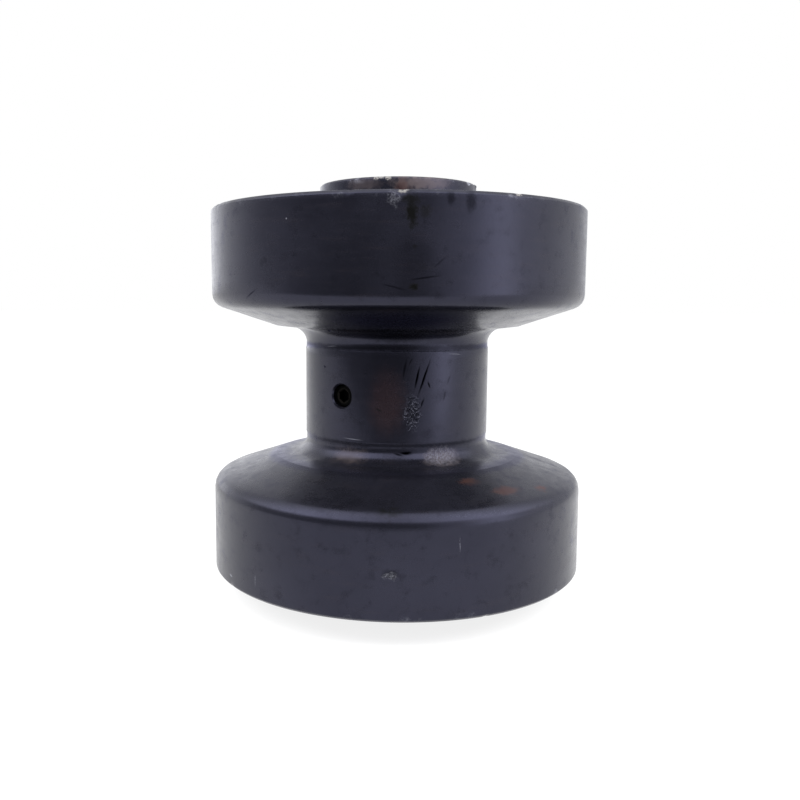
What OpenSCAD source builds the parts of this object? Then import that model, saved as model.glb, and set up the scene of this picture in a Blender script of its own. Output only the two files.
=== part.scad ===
// Track roller for a rubber-track undercarriage.
// The axle lies along Z and the origin is at the middle of the axle.  The axle, with its two
// end collars, is bolted to the track frame.  The roller shell turns round it on two bushes
// in an oil bath, closed at each end by a pair of floating seals.

/* [Treads] */
// Diameter of the two rolling treads
tread_d = 140; // [116:1:170]
// Length of the roller shell over the outer faces of the treads
body_len = 134; // [112:1:165]
// Radius of the shoulder between a tread and its inner flank
shoulder_r = 5; // [2:0.5:8]
// Chamfer at the outer rim of each tread
rim_chamfer = 1; // [0.5:0.1:2]
// Slope of the inner flanks away from square to the axle, in degrees
flank_angle = 18.6; // [8:0.1:24]
// Width of the flat ring at the foot of each flank
ledge_w = 6.5; // [3:0.5:9]

/* [Neck] */
// Diameter of the neck between the treads
neck_d = 70; // [68:1:84]
// Length of the straight part of the neck
neck_len = 37.4; // [30:0.2:46]
// How far the fillet at each end of the neck rises outwards
root_rise = 5; // [3:0.5:8]
// How far the same fillet turns away from the axle, in degrees
root_angle = 81.5; // [60:0.5:88]

/* [Shaft] */
// Diameter of the shaft
shaft_d = 35; // [30:1:42]
// Chamfer at each end of the shaft
shaft_chamfer = 1; // [0.5:0.1:2]
// Diameter of the tapping hole in each end of the shaft
tap_d = 14; // [10:0.5:17]
// Depth of each tapped hole, without its drill point
tap_depth = 35; // [24:1:45]
// Depth of the 90 degree countersink at the mouth of each tapped hole
tap_countersink = 1.5; // [0.5:0.1:2.5]

/* [Bushes and thrust washers] */
// Wall thickness of a bush
bush_wall = 3; // [2:0.25:4]
// Length of a bush
bush_len = 30; // [20:1:38]
// Radial running clearance between bush and shaft
bush_clearance = 0.05; // [0.02:0.01:0.1]
// How far a bush sits below its thrust washer
bush_inset = 0.5; // [0.2:0.1:1.5]
// How much wider the oil chamber is than the bush seats, on the radius
chamber_relief = 2.45; // [0.5:0.05:3]
// Thickness of a thrust washer
washer_t = 2.5; // [1.5:0.1:4]
// How far a thrust washer reaches past the collar nose, on the radius
washer_overlap = 2; // [1:0.1:4]
// Radial clearance of a thrust washer on the shaft and in its pocket
washer_clearance = 0.2; // [0.1:0.05:0.5]
// Gap between thrust washer and collar nose
end_float = 0.3; // [0.2:0.05:0.6]

/* [Floating seals] */
// Radial width of the lapped face of a seal ring
seal_face_w = 6.5; // [5:0.1:8]
// Height of a seal ring
seal_ring_h = 5.5; // [4.6:0.1:7]
// Thickness of a seal ring at its lapped face
seal_flange_t = 1.8; // [1.2:0.1:2.2]
// How far the lapped face of a seal ring overhangs the foot of its ramp
seal_lip = 2.2; // [1.5:0.1:2.4]
// Slope of the ramps that squeeze the rubber torics, in degrees
seal_ramp_angle = 18; // [10:1:24]
// Radial width of a squeezed rubber toric
toric_w = 3; // [2.5:0.1:4.5]
// Gap between the two lapped faces, filled by the oil film
seal_face_gap = 0.06; // [0.04:0.01:0.1]
// Gap behind each seal ring
seal_back_gap = 0.5; // [0.3:0.1:1]
// Gap between a seal ring and the collar nose inside it
seal_nose_gap = 1.5; // [0.8:0.1:2.5]

/* [Collars] */
// Diameter of the boss that bears on the track frame
boss_d = 59; // [54:0.5:66]
// How far each boss stands out past the tread faces
boss_rise = 9.5; // [8:0.5:30]
// Chamfer at the outer edge of a boss
boss_chamfer = 0.6; // [0.3:0.1:1.5]
// Wall of the collar nose round the shaft
nose_wall = 5.5; // [4:0.1:7]
// Wall of the collar skirt round the seal
skirt_wall = 3; // [2:0.1:5]
// Gap between the skirt and the counterbore of the shell
skirt_gap = 0.5; // [0.3:0.1:1]
// Thickness of the collar flange behind the seal
flange_t = 4.5; // [4:0.1:8]
// How far the flange sits below the tread face
flange_inset = 1.5; // [0.5:0.1:3]
// Radial clearance of a collar on the shaft
collar_clearance = 0.02; // [0.01:0.01:0.05]

/* [O-rings and lock pins] */
// Depth of the O-ring groove in the collar bore
oring_groove_depth = 2.1; // [1.5:0.1:3]
// Width of the O-ring groove
oring_groove_w = 3.4; // [2.6:0.1:4]
// Room on each side of an O-ring in its groove
oring_side_gap = 0.25; // [0.1:0.05:0.5]
// Diameter of the slotted spring pin that locks a collar to the shaft
pin_d = 5; // [3:0.5:6]
// Wall of the spring pin
pin_wall = 1; // [0.5:0.1:1.2]
// Slot along the spring pin
pin_slot = 1.2; // [0.6:0.1:2]
// How far the middle of the pin lies below the boss face
pin_from_face = 4.7; // [3.6:0.1:5.5]
// How deep the pin goes into the shaft
pin_depth = 6; // [4:0.5:7]
// How far the pin's end lies below the surface of the boss
pin_inset = 0.5; // [0.1:0.1:1.5]
// Direction of the lock pins round the axle, in degrees from +X
pin_direction = 90; // [0:1:359]

/* [Filler plug] */
// Diameter of the threaded filler plug
plug_d = 8.2; // [6:0.1:10]
// Length of the filler plug
plug_len = 7; // [5:0.5:8]
// How far the plug sits below the surface of the neck
plug_inset = 1.4; // [0.5:0.1:2]
// Radial clearance of the plug in its hole
plug_clearance = 0.05; // [0.02:0.01:0.1]
// Width across the flats of the hexagon socket
socket_af = 4; // [3:0.5:5]
// Depth of the hexagon socket
socket_depth = 4; // [2:0.5:5]
// Diameter of the oil hole under the plug
oil_hole_d = 6; // [4:0.5:7]
// Direction of the plug round the neck, in degrees from +X
plug_direction = 236; // [0:1:359]

/* [Hidden] */

$fn = 96;
// Extra length on every cutter, so that no two faces of a cut lie in one plane
cut = 1;
// Small chamfer on edges that only need breaking
break_edge = 0.5;

// Radii of the shell, from the neck out to the treads
tread_r = tread_d / 2;
neck_r = neck_d / 2;
root_r = neck_r + root_rise;
ledge_r = root_r + ledge_w;

// Radii from the shaft out to the counterbore of the shell
shaft_r = shaft_d / 2;
bush_bore_r = shaft_r + bush_clearance;
bush_seat_r = bush_bore_r + bush_wall;
chamber_r = bush_seat_r + chamber_relief;
nose_r = shaft_r + nose_wall;
washer_bore_r = shaft_r + washer_clearance;
washer_r = nose_r + washer_overlap;
ring_bore_r = nose_r + seal_nose_gap;
ring_face_r = ring_bore_r + seal_face_w;
collar_bore_r = shaft_r + collar_clearance;
boss_r = boss_d / 2;

// Ramps of a floating seal, with heights measured away from its lapped face.  The ring's own
// ramp and the ramp of its seat run side by side, and the rubber toric is squeezed between.
ramp_start_h = seal_flange_t + 0.6;
ramp_start_r = ring_face_r - seal_lip;
ramp_end_r = ramp_start_r - (seal_ring_h - ramp_start_h) * tan(seal_ramp_angle);
seat_start_r = ramp_start_r + toric_w;
seat_end_r = ramp_end_r + toric_w;
seat_mouth_h = 1;
cavity_h = seal_ring_h + seal_back_gap;
skirt_r = seat_start_r + skirt_wall;
counterbore_r = skirt_r + skirt_gap;

// Part of the ramp that a toric touches, and how far its free ends bulge past that part
toric_low_h = ramp_start_h + 0.7;
toric_high_h = seal_ring_h - 0.5;
toric_bulge = 0.5;

// Places along the axle, all for the upper end
body_half = body_len / 2;
axle_half = body_half + boss_rise;
neck_half = neck_len / 2;
root_fillet = root_rise / (1 - cos(root_angle));
root_len = root_fillet * sin(root_angle);
ledge_z = neck_half + root_len;
flange_z = body_half - flange_inset;
cavity_top_z = flange_z - flange_t;
fixed_face_z = cavity_top_z - cavity_h;
turning_face_z = fixed_face_z - seal_face_gap;
cavity_floor_z = turning_face_z - cavity_h;
washer_floor_z = cavity_floor_z - washer_t;
bush_outer_z = washer_floor_z - bush_inset;
bush_inner_z = bush_outer_z - bush_len;
oring_z = flange_z - flange_t / 2;
pin_z = axle_half - pin_from_face;

// Radius of a seal ring's ramp at a height above the lapped face
function ramp_r(h) = ramp_start_r - (h - ramp_start_h) * tan(seal_ramp_angle);

// Points of an arc about (r, z) from angle a to angle b
function arc(r, z, radius, a, b, steps) =
    [for (i = [0:steps]) let (t = a + (b - a) * i / steps) [r + radius * cos(t), z + radius * sin(t)]];

// The upper half of the shell's outer outline, from the middle of the neck to the tread face
shoulder_z = ledge_z + (tread_r - shoulder_r - ledge_r) * tan(flank_angle) + shoulder_r / cos(flank_angle);
outer_outline = concat(
    arc(neck_r + root_fillet, neck_half, root_fillet, 180, 180 - root_angle, 12),
    [[ledge_r, ledge_z]],
    arc(tread_r - shoulder_r, shoulder_z, shoulder_r, flank_angle - 90, 0, 10),
    [[tread_r, body_half - rim_chamfer], [tread_r - rim_chamfer, body_half]]
);

// The upper half of the shell's inner outline, from the tread face to the oil chamber
inner_outline = [
    [counterbore_r + break_edge, body_half], [counterbore_r, body_half - break_edge],
    [counterbore_r, turning_face_z - seat_mouth_h], [seat_start_r, turning_face_z - seat_mouth_h],
    [seat_start_r, turning_face_z - ramp_start_h], [seat_end_r, turning_face_z - seal_ring_h],
    [seat_end_r, cavity_floor_z], [washer_r + washer_clearance, cavity_floor_z],
    [washer_r + washer_clearance, washer_floor_z], [bush_seat_r, washer_floor_z],
    [bush_seat_r, bush_inner_z], [chamber_r, bush_inner_z]
];

// The same outline seen from the lower end, in the opposite order
function lower(points) = [for (i = [len(points) - 1:-1:0]) [points[i][0], -points[i][1]]];

// A piece of the upper end, or its twin at the lower end
module at_end(upper) {
    mirror([0, 0, upper ? 0 : 1]) children();
}

// A bar of round section that lies across the axle, from radius r1 out to radius r2
module radial(direction, z, r1, r2, d) {
    rotate([0, 0, direction]) translate([r1, 0, z]) rotate([0, 90, 0]) cylinder(h = r2 - r1, d = d, $fn = 48);
}

// Forged and turned steel shell with both treads, bored for bushes and seals
module roller_shell() {
    color([0.13, 0.13, 0.15]) difference() {
        rotate_extrude($fn = 180)
            polygon(concat(lower(outer_outline), outer_outline, inner_outline, lower(inner_outline)));
        radial(plug_direction, 0, neck_r - plug_inset - plug_len, neck_r + cut, plug_d);
        radial(plug_direction, 0, chamber_r - cut, neck_r - cut, oil_hole_d);
    }
}

// Threaded plug that closes the oil filling hole, driven by a hexagon socket
module filler_plug() {
    outer_r = neck_r - plug_inset;
    plug_r = plug_d / 2 - plug_clearance;
    color([0.1, 0.1, 0.11]) rotate([0, 0, plug_direction]) rotate([0, 90, 0]) difference() {
        rotate_extrude($fn = 48) polygon([
            [0, outer_r - plug_len], [plug_r - break_edge, outer_r - plug_len],
            [plug_r, outer_r - plug_len + break_edge], [plug_r, outer_r - break_edge],
            [plug_r - break_edge, outer_r], [0, outer_r]
        ]);
        translate([0, 0, outer_r - socket_depth])
            cylinder(h = socket_depth + cut, d = socket_af / cos(30), $fn = 6);
    }
}

// Ground steel shaft with a tapped hole in each end and a blind cross hole for each lock pin
module axle_shaft() {
    tap_r = tap_d / 2;
    point_h = tap_r * tan(31);
    color([0.62, 0.62, 0.64]) difference() {
        rotate_extrude() polygon([
            [0, -axle_half], [shaft_r - shaft_chamfer, -axle_half], [shaft_r, -axle_half + shaft_chamfer],
            [shaft_r, axle_half - shaft_chamfer], [shaft_r - shaft_chamfer, axle_half], [0, axle_half]
        ]);
        for (upper = [true, false]) at_end(upper) {
            rotate_extrude() polygon([
                [0, axle_half - tap_depth - point_h], [tap_r, axle_half - tap_depth],
                [tap_r, axle_half - tap_countersink], [tap_r + tap_countersink + cut, axle_half + cut],
                [0, axle_half + cut]
            ]);
            radial(pin_direction, pin_z, shaft_r - pin_depth, shaft_r + cut, pin_d);
        }
    }
}

// Plain bimetal bush, pressed into the shell
module bush(upper) {
    color([0.72, 0.53, 0.27]) at_end(upper) rotate_extrude() polygon([
        [bush_bore_r, bush_inner_z + break_edge], [bush_bore_r + break_edge, bush_inner_z],
        [bush_seat_r, bush_inner_z], [bush_seat_r, bush_outer_z],
        [bush_bore_r + break_edge, bush_outer_z], [bush_bore_r, bush_outer_z - break_edge]
    ]);
}

// Thrust washer in its pocket in the shell, which the collar nose bears on
module thrust_washer(upper) {
    color([0.78, 0.6, 0.33]) at_end(upper) rotate_extrude() polygon([
        [washer_bore_r, washer_floor_z], [washer_r, washer_floor_z],
        [washer_r, cavity_floor_z], [washer_bore_r, cavity_floor_z]
    ]);
}

// Places a piece of a floating seal, drawn with its lapped face at height 0, in the fixed half
// of the seal or, upside down, in the half that turns with the shell
module seal_half(upper, fixed) {
    at_end(upper) translate([0, 0, fixed ? fixed_face_z : turning_face_z])
        mirror([0, 0, fixed ? 0 : 1]) children();
}

// Cast alloy seal ring with a lapped face and a ramp for its toric
module seal_ring(upper, fixed) {
    color([0.55, 0.56, 0.58]) seal_half(upper, fixed) rotate_extrude() polygon([
        [ring_bore_r, 0], [ring_face_r, 0], [ring_face_r, seal_flange_t], [ramp_start_r, ramp_start_h],
        [ramp_end_r, seal_ring_h], [ring_bore_r, seal_ring_h]
    ]);
}

// Rubber toric squeezed between the ramp of its ring and the ramp of its seat
module seal_toric(upper, fixed) {
    corner = toric_w / 4;
    color([0.08, 0.08, 0.08]) seal_half(upper, fixed) rotate_extrude() polygon([
        [ramp_r(toric_low_h), toric_low_h],
        [ramp_r(toric_low_h) + corner, toric_low_h - toric_bulge],
        [ramp_r(toric_low_h) + toric_w - corner, toric_low_h - toric_bulge],
        [ramp_r(toric_low_h) + toric_w, toric_low_h],
        [ramp_r(toric_high_h) + toric_w, toric_high_h],
        [ramp_r(toric_high_h) + toric_w - corner, toric_high_h + toric_bulge],
        [ramp_r(toric_high_h) + corner, toric_high_h + toric_bulge],
        [ramp_r(toric_high_h), toric_high_h]
    ]);
}

// End collar: its nose bears on the thrust washer, its skirt holds the fixed seal half and its
// boss stands out to bear on the track frame
module collar(upper) {
    nose_z = cavity_floor_z + end_float;
    groove_r = collar_bore_r + oring_groove_depth;
    color([0.15, 0.15, 0.17]) at_end(upper) difference() {
        rotate_extrude($fn = 144) polygon([
            [collar_bore_r, nose_z], [nose_r - break_edge, nose_z], [nose_r, nose_z + break_edge],
            [nose_r, cavity_top_z], [seat_end_r, cavity_top_z],
            [seat_end_r, fixed_face_z + seal_ring_h], [seat_start_r, fixed_face_z + ramp_start_h],
            [seat_start_r, fixed_face_z + seat_mouth_h], [skirt_r, fixed_face_z + seat_mouth_h],
            [skirt_r, flange_z - break_edge], [skirt_r - break_edge, flange_z],
            [boss_r + break_edge, flange_z], [boss_r, flange_z + break_edge],
            [boss_r, axle_half - boss_chamfer], [boss_r - boss_chamfer, axle_half],
            [collar_bore_r + break_edge, axle_half], [collar_bore_r, axle_half - break_edge],
            [collar_bore_r, oring_z + oring_groove_w / 2], [groove_r, oring_z + oring_groove_w / 2],
            [groove_r, oring_z - oring_groove_w / 2], [collar_bore_r, oring_z - oring_groove_w / 2]
        ]);
        radial(pin_direction, pin_z, shaft_r - cut, boss_r + cut, pin_d);
    }
}

// Rubber O-ring that seals the collar bore on the shaft, squeezed to the depth of its groove
module shaft_oring(upper) {
    outer_r = collar_bore_r + oring_groove_depth;
    half_h = oring_groove_w / 2 - oring_side_gap;
    color([0.07, 0.07, 0.07]) at_end(upper) rotate_extrude() polygon([
        [shaft_r, oring_z - half_h / 2], [shaft_r + break_edge, oring_z - half_h],
        [outer_r - break_edge, oring_z - half_h], [outer_r, oring_z - half_h / 2],
        [outer_r, oring_z + half_h / 2], [outer_r - break_edge, oring_z + half_h],
        [shaft_r + break_edge, oring_z + half_h], [shaft_r, oring_z + half_h / 2]
    ]);
}

// Slotted spring pin through the boss into the shaft
module lock_pin(upper) {
    inner_r = shaft_r - pin_depth;
    outer_r = boss_r - pin_inset;
    color([0.4, 0.4, 0.42]) at_end(upper) difference() {
        radial(pin_direction, pin_z, inner_r, outer_r, pin_d);
        radial(pin_direction, pin_z, inner_r - cut, outer_r + cut, pin_d - 2 * pin_wall);
        rotate([0, 0, pin_direction]) translate([inner_r - cut, -pin_slot / 2, pin_z])
            cube([outer_r - inner_r + 2 * cut, pin_slot, pin_d]);
    }
}

roller_shell();
filler_plug();
axle_shaft();
bush(true);  // bush_upper
bush(false);  // bush_lower
thrust_washer(true);  // thrust_washer_upper
thrust_washer(false);  // thrust_washer_lower
seal_ring(true, false);  // seal_ring_rotating_upper
seal_ring(false, false);  // seal_ring_rotating_lower
seal_toric(true, false);  // seal_toric_rotating_upper
seal_toric(false, false);  // seal_toric_rotating_lower
seal_ring(true, true);  // seal_ring_fixed_upper
seal_ring(false, true);  // seal_ring_fixed_lower
seal_toric(true, true);  // seal_toric_fixed_upper
seal_toric(false, true);  // seal_toric_fixed_lower
collar(true);  // collar_upper
collar(false);  // collar_lower
shaft_oring(true);  // shaft_oring_upper
shaft_oring(false);  // shaft_oring_lower
lock_pin(true);  // lock_pin_upper
lock_pin(false);  // lock_pin_lower
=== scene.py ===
import math

import bmesh
import bpy
import numpy as np
from mathutils import Euler, Matrix, Vector


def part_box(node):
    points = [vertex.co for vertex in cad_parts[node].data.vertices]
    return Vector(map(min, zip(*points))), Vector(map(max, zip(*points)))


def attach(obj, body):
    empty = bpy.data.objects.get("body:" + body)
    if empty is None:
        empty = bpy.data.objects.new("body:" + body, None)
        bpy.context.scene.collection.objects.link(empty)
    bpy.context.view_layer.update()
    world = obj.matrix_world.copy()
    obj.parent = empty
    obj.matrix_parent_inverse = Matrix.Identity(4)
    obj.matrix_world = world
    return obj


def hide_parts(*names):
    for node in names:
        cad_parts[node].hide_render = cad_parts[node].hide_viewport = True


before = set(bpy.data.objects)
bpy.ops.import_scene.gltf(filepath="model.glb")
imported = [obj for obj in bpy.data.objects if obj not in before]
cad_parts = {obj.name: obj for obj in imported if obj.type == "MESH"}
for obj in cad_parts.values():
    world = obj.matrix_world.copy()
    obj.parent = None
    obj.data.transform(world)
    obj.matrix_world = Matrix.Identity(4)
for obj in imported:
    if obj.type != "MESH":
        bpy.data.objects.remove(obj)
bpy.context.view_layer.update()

# ---------------------------------------------------------------------------------------------
# Roller shell.  Forged alloy steel, turned all over and bored for bushes and seals.  It is
# sprayed with black chassis enamel once the roller is built, so its sharp corners hold little
# paint and scuff through first.
# ---------------------------------------------------------------------------------------------
MM = 0.001
FRONT = -90.0           # bearing of the camera's side from +X, in degrees
SHARP_ANGLE = math.radians(38)
MERGE_DISTANCE = 2e-6   # m
EDGE_FADE = 1.6         # mm from a rubbed corner to where the paint is whole
FADE_ROOM = 2.5         # an edge gets rows of its own for that fade when it is this much longer
ROUNDING_SHARE = 0.45   # the most of an edge that the rounding at one end takes
ROUNDING_STEP = 20      # degrees
WANDER_WAVES = 2.6      # noise waves in one radius of the circle that the wander is read from
FULL_SHARE = 0.25       # how much of a knock's or mark's radius has its whole depth or strength


def add(tree, kind, inputs=(), **settings):
    """Adds a node. Each input is a value or another node's output, by the socket's name or number."""
    node = tree.nodes.new(kind)
    for name, value in settings.items():
        setattr(node, name, value)
    for key, value in dict(inputs).items():
        if isinstance(value, bpy.types.NodeSocket):
            tree.links.new(value, node.inputs[key])
        else:
            node.inputs[key].default_value = value
    return node


def linear(colour):
    """Turns an sRGB hex colour into linear red, green, blue and alpha."""
    parts = [int(colour[i:i + 2], 16) / 255 for i in (1, 3, 5)]
    return [c / 12.92 if c <= 0.04045 else ((c + 0.055) / 1.055) ** 2.4 for c in parts] + [1.0]


# The tree that turns an outline of (r, 0, z) points round Z, as a lathe would.  "wander" lets a
# hand-fed tool mark rise and fall round the piece, "thread" cuts a helical groove, and the
# knocks are points with a size and a depth that raise what lies near them, or dent it when the
# depth is negative.
lathe = bpy.data.node_groups.new("Turned piece", "GeometryNodeTree")
for name, kind in (
    ("Outline", "Geometry"), ("Steps round", "Int"), ("Sharp angle", "Float"), ("Seed", "Float"),
    ("Thread pitch", "Float"), ("Thread depth", "Float"), ("Knocks", "Object"), ("Material", "Material"),
):
    lathe.interface.new_socket(name, in_out="INPUT", socket_type="NodeSocket" + kind)
lathe.interface.new_socket("Piece", in_out="OUTPUT", socket_type="NodeSocketGeometry")
given = add(lathe, "NodeGroupInput").outputs
outline_size = add(lathe, "GeometryNodeAttributeDomainSize", {0: given["Outline"]}).outputs[0]
columns = add(lathe, "FunctionNodeIntegerMath", {0: given["Steps round"], 1: 1},
              operation="ADD").outputs[0]
grid = add(lathe, "GeometryNodeMeshGrid", {"Vertices X": columns, "Vertices Y": outline_size}).outputs[0]
index = add(lathe, "GeometryNodeInputIndex").outputs[0]
row = add(lathe, "FunctionNodeIntegerMath", {0: index, 1: outline_size}, operation="MODULO").outputs[0]
column = add(lathe, "FunctionNodeIntegerMath", {0: index, 1: outline_size},
             operation="DIVIDE_FLOOR").outputs[0]
along = {}
for name in ("path", "wear", "wander", "thread"):
    value = add(lathe, "GeometryNodeInputNamedAttribute", {"Name": name}).outputs[0]
    sampled = add(lathe, "GeometryNodeSampleIndex", {0: given["Outline"], 1: value, 2: row})
    along[name] = sampled.outputs[0]
place = add(lathe, "GeometryNodeInputPosition").outputs[0]
at_row = add(lathe, "GeometryNodeSampleIndex", {0: given["Outline"], 2: row}, data_type="FLOAT_VECTOR")
lathe.links.new(place, at_row.inputs[1])
section = add(lathe, "ShaderNodeSeparateXYZ", {0: at_row.outputs[0]}).outputs
turns = add(lathe, "ShaderNodeMath", {0: column, 1: given["Steps round"]}, operation="DIVIDE").outputs[0]
angle = add(lathe, "ShaderNodeMath", {0: turns, 1: math.tau}, operation="MULTIPLY").outputs[0]
cosine = add(lathe, "ShaderNodeMath", {0: angle}, operation="COSINE").outputs[0]
sine = add(lathe, "ShaderNodeMath", {0: angle}, operation="SINE").outputs[0]
circle = add(lathe, "ShaderNodeCombineXYZ", {0: cosine, 1: sine, 2: given["Seed"]}).outputs[0]
drift = add(lathe, "ShaderNodeTexNoise", {
    "Vector": circle, "Scale": WANDER_WAVES, "Detail": 3.0}).outputs[0]
drift = add(lathe, "ShaderNodeMath", {0: drift, 1: 0.5}, operation="SUBTRACT").outputs[0]
height = add(lathe, "ShaderNodeMath", {0: drift, 1: along["wander"], 2: section[2]},
             operation="MULTIPLY_ADD").outputs[0]
pitches = add(lathe, "ShaderNodeMath", {0: section[2], 1: given["Thread pitch"]},
              operation="DIVIDE").outputs[0]
phase = add(lathe, "ShaderNodeMath", {0: pitches, 1: turns}, operation="SUBTRACT").outputs[0]
groove = add(lathe, "ShaderNodeMath", {0: phase, 1: 0.5}, operation="PINGPONG").outputs[0]
groove = add(lathe, "ShaderNodeMath", {0: groove, 1: along["thread"]}, operation="MULTIPLY").outputs[0]
reach = add(lathe, "ShaderNodeMath", {0: given["Thread depth"], 1: 2.0}, operation="MULTIPLY").outputs[0]
radius = add(lathe, "ShaderNodeMath", {0: groove, 1: reach, 2: section[0]},
             operation="MULTIPLY_ADD").outputs[0]
across = add(lathe, "ShaderNodeMath", {0: radius, 1: cosine}, operation="MULTIPLY").outputs[0]
deep = add(lathe, "ShaderNodeMath", {0: radius, 1: sine}, operation="MULTIPLY").outputs[0]
spun = add(lathe, "ShaderNodeCombineXYZ", {0: across, 1: deep, 2: height}).outputs[0]
body = add(lathe, "GeometryNodeSetPosition", {"Geometry": grid, "Position": spun}).outputs[0]
for name in ("path", "wear"):
    body = add(lathe, "GeometryNodeStoreNamedAttribute", {
        0: body, "Name": name, "Value": along[name]}).outputs[0]
body = add(lathe, "GeometryNodeMergeByDistance", {0: body, "Distance": MERGE_DISTANCE}).outputs[0]
struck = add(lathe, "GeometryNodeObjectInfo", {"Object": given["Knocks"]}).outputs["Geometry"]
nearest = add(lathe, "GeometryNodeSampleNearest", {0: struck}).outputs[0]
centre = add(lathe, "GeometryNodeSampleIndex", {0: struck, 1: place, 2: nearest}, data_type="FLOAT_VECTOR")
lathe.links.new(place, centre.inputs[1])
knock = {}
for name in ("size", "depth"):
    value = add(lathe, "GeometryNodeInputNamedAttribute", {"Name": name}).outputs[0]
    knock[name] = add(lathe, "GeometryNodeSampleIndex", {0: struck, 1: value, 2: nearest}).outputs[0]
away = add(lathe, "ShaderNodeVectorMath", {0: place, 1: centre.outputs[0]}, operation="DISTANCE").outputs[1]
away = add(lathe, "ShaderNodeMath", {0: away, 1: knock["size"]}, operation="DIVIDE").outputs[0]
fall = add(lathe, "ShaderNodeMapRange", {0: away, 1: FULL_SHARE, 2: 1.0, 3: 1.0, 4: 0.0},
           interpolation_type="SMOOTHSTEP").outputs[0]
push = add(lathe, "ShaderNodeMath", {0: fall, 1: knock["depth"]}, operation="MULTIPLY").outputs[0]
normal = add(lathe, "GeometryNodeInputNormal").outputs[0]
outward = add(lathe, "ShaderNodeVectorMath", {0: normal, "Scale": push}, operation="SCALE").outputs[0]
body = add(lathe, "GeometryNodeSetPosition", {"Geometry": body, "Offset": outward}).outputs[0]
bend = add(lathe, "GeometryNodeInputMeshEdgeAngle").outputs[0]
crease = add(lathe, "FunctionNodeCompare", {0: bend, 1: given["Sharp angle"]},
             operation="GREATER_THAN").outputs[0]
body = add(lathe, "GeometryNodeSetShadeSmooth", {0: body, "Shade Smooth": True}).outputs[0]
body = add(lathe, "GeometryNodeSetShadeSmooth", {0: body, 1: crease, 2: False}, domain="EDGE").outputs[0]
body = add(lathe, "GeometryNodeRealizeInstances", {0: body}).outputs[0]
body = add(lathe, "GeometryNodeSetMaterial", {0: body, "Material": given["Material"]}).outputs[0]
add(lathe, "NodeGroupOutput", {0: body})
lathe_input = {s.name: s.identifier for s in lathe.interface.items_tree if s.in_out == "INPUT"}


def corner(r, z, rounding=0.0, wear=0.0, wander=0.0, thread=0.0, stretch=5.0):
    """A corner of an outline, in mm.  Stretch is the longest step from it towards the next one."""
    return dict(at=np.array([r, z]), rounding=rounding, values=[wear, wander, thread], stretch=stretch)


def other_end(corners):
    """The same corners for the lower end of the roller, in the order that keeps faces outward."""
    flipped = [dict(c, at=c["at"] * [1, -1]) for c in corners]
    for i, c in enumerate(flipped[:-1]):
        c["stretch"] = corners[i]["stretch"]
    return flipped[::-1]


def outline(corners, closed=True):
    """Rows (r, z, path, wear, wander, thread) in mm along an outline with its corners rounded."""
    count = len(corners)
    rounded = []
    for i, c in enumerate(corners):
        before, after = corners[i - 1]["at"] - c["at"], corners[(i + 1) % count]["at"] - c["at"]
        lengths = [np.linalg.norm(before), np.linalg.norm(after)]
        if c["rounding"] == 0 or (not closed and i in (0, count - 1)):
            rounded.append([c["at"]])
            continue
        before, after = before / lengths[0], after / lengths[1]
        half = math.acos(np.clip(before @ after, -1, 1)) / 2
        cut = min(c["rounding"] / math.tan(half), ROUNDING_SHARE * min(lengths))
        middle = (before + after) / np.linalg.norm(before + after)
        hub = c["at"] + middle * cut / math.cos(half)
        first, last = c["at"] + before * cut - hub, c["at"] + after * cut - hub
        start = math.atan2(first[1], first[0])
        sweep = (math.atan2(last[1], last[0]) - start + math.pi) % math.tau - math.pi
        steps = max(2, round(abs(math.degrees(sweep)) / ROUNDING_STEP))
        swing = np.linalg.norm(first)
        angles = [start + sweep * s / steps for s in range(steps + 1)]
        rounded.append([hub + swing * np.array([math.cos(a), math.sin(a)]) for a in angles])
    rows = []
    for i, c in enumerate(corners):
        rows += [[*p, *c["values"]] for p in rounded[i]]
        if i == count - 1 and not closed:
            break
        following = corners[(i + 1) % count]
        start, end = rounded[i][-1], rounded[(i + 1) % count][0]
        length = np.linalg.norm(end - start)
        shares = set(np.linspace(0, 1, max(1, math.ceil(length / c["stretch"])) + 1)[1:-1])
        if (c["values"][0] or following["values"][0]) and length > FADE_ROOM * EDGE_FADE:
            shares |= {EDGE_FADE / length, 1 - EDGE_FADE / length}
        for share in sorted(shares):
            near = max(c["values"][0] * (1 - share * length / EDGE_FADE), 0,
                       following["values"][0] * (1 - (1 - share) * length / EDGE_FADE))
            rest = [a + (b - a) * share for a, b in zip(c["values"][1:], following["values"][1:])]
            rows.append([*(start + (end - start) * share), near, *rest])
    if closed:
        rows.append(rows[0])
    rows = np.array(rows)
    path = np.concatenate([[0], np.cumsum(np.linalg.norm(np.diff(rows[:, :2], axis=0), axis=1))])
    return np.column_stack([rows[:, :2], path, rows[:, 2:]])


def points_object(name, places, **attributes):
    """An object that holds loose points in order, with a number at each point for each name."""
    mesh = bpy.data.meshes.new(name)
    mesh.from_pydata([tuple(p) for p in places], [], [])
    for key, values in attributes.items():
        mesh.attributes.new(key, "FLOAT", "POINT").data.foreach_set("value", np.array(values, np.float32))
    made = bpy.data.objects.new(name, mesh)
    bpy.context.scene.collection.objects.link(made)
    return made


def as_mesh(piece):
    """Replaces a piece by the plain mesh that its modifiers make, and drops the modifiers."""
    evaluated = piece.evaluated_get(bpy.context.evaluated_depsgraph_get())
    plain = bpy.data.meshes.new_from_object(evaluated)
    piece.modifiers.clear()
    piece.data = plain
    plain.name = piece.name
    return piece


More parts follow.
